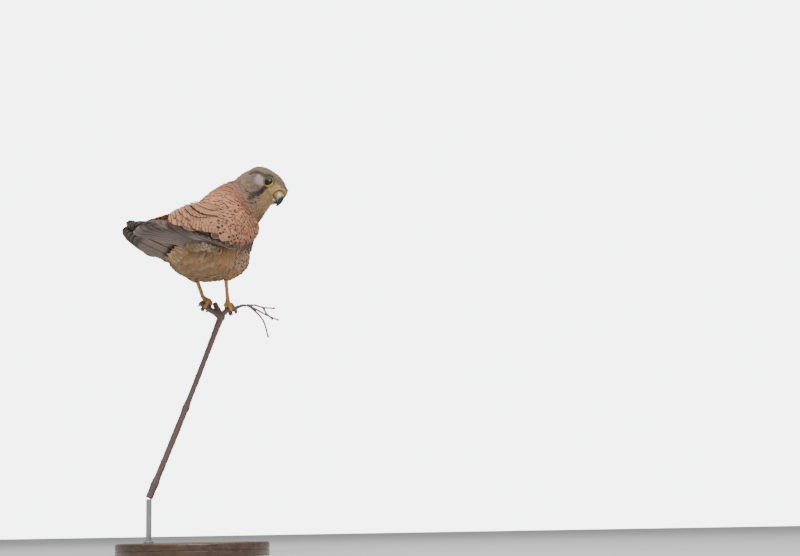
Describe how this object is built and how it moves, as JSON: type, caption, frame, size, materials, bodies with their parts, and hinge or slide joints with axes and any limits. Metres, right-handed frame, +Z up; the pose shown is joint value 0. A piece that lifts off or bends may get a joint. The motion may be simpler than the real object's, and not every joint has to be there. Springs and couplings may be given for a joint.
{
  "type": "perched kestrel model",
  "caption": "Life-size still model of a common kestrel looking back over its shoulder, perched on a cut branch tip above a round display base.",
  "frame": {"origin": "centre of the stand base's flat underside", "axes": "+Z up, the bird's body heads towards -Y and its right side is towards -X"},
  "size_m": [0.1592, 0.2981, 0.4213],
  "materials": {
    "chestnut_feather": "soft barbed feather, chestnut with dark spots",
    "buff_feather": "soft downy feather, buff",
    "grey_feather": "soft short feather, grey-brown",
    "flight_feather": "stiff barbed feather, dark grey-brown",
    "yellow_skin": "scaly skin, orange-yellow",
    "dark_horn": "smooth horn, black",
    "blue_horn": "smooth horn, blue-grey to black",
    "eye": "wet gloss, near black",
    "bark": "smooth twig bark, purple-brown",
    "stand_wood": "satin varnish, dark walnut",
    "stand_steel": "satin"
  },
  "bodies": {
    "root": {"torso": "buff_feather", "neck": "grey_feather", "head": "grey_feather", "eye_right": "eye", "thigh_right": "buff_feather", "tarsus_right": "yellow_skin", "foot_right": "yellow_skin", "claw_right_inner": "dark_horn", "claw_right_middle": "dark_horn", "claw_right_outer": "dark_horn", "claw_right_hind": "dark_horn", "wing_right": "chestnut_feather", "eye_left": "eye", "thigh_left": "buff_feather", "tarsus_left": "yellow_skin", "foot_left": "yellow_skin", "claw_left_inner": "dark_horn", "claw_left_middle": "dark_horn", "claw_left_outer": "dark_horn", "claw_left_hind": "dark_horn", "wing_left": "chestnut_feather", "cere": "yellow_skin", "bill_upper": "blue_horn", "bill_lower": "blue_horn", "tail": "flight_feather", "perch_stem": "bark", "perch_twig": "bark", "stand_base": "stand_wood", "stand_rod": "stand_steel"}
  },
  "joints": []
}
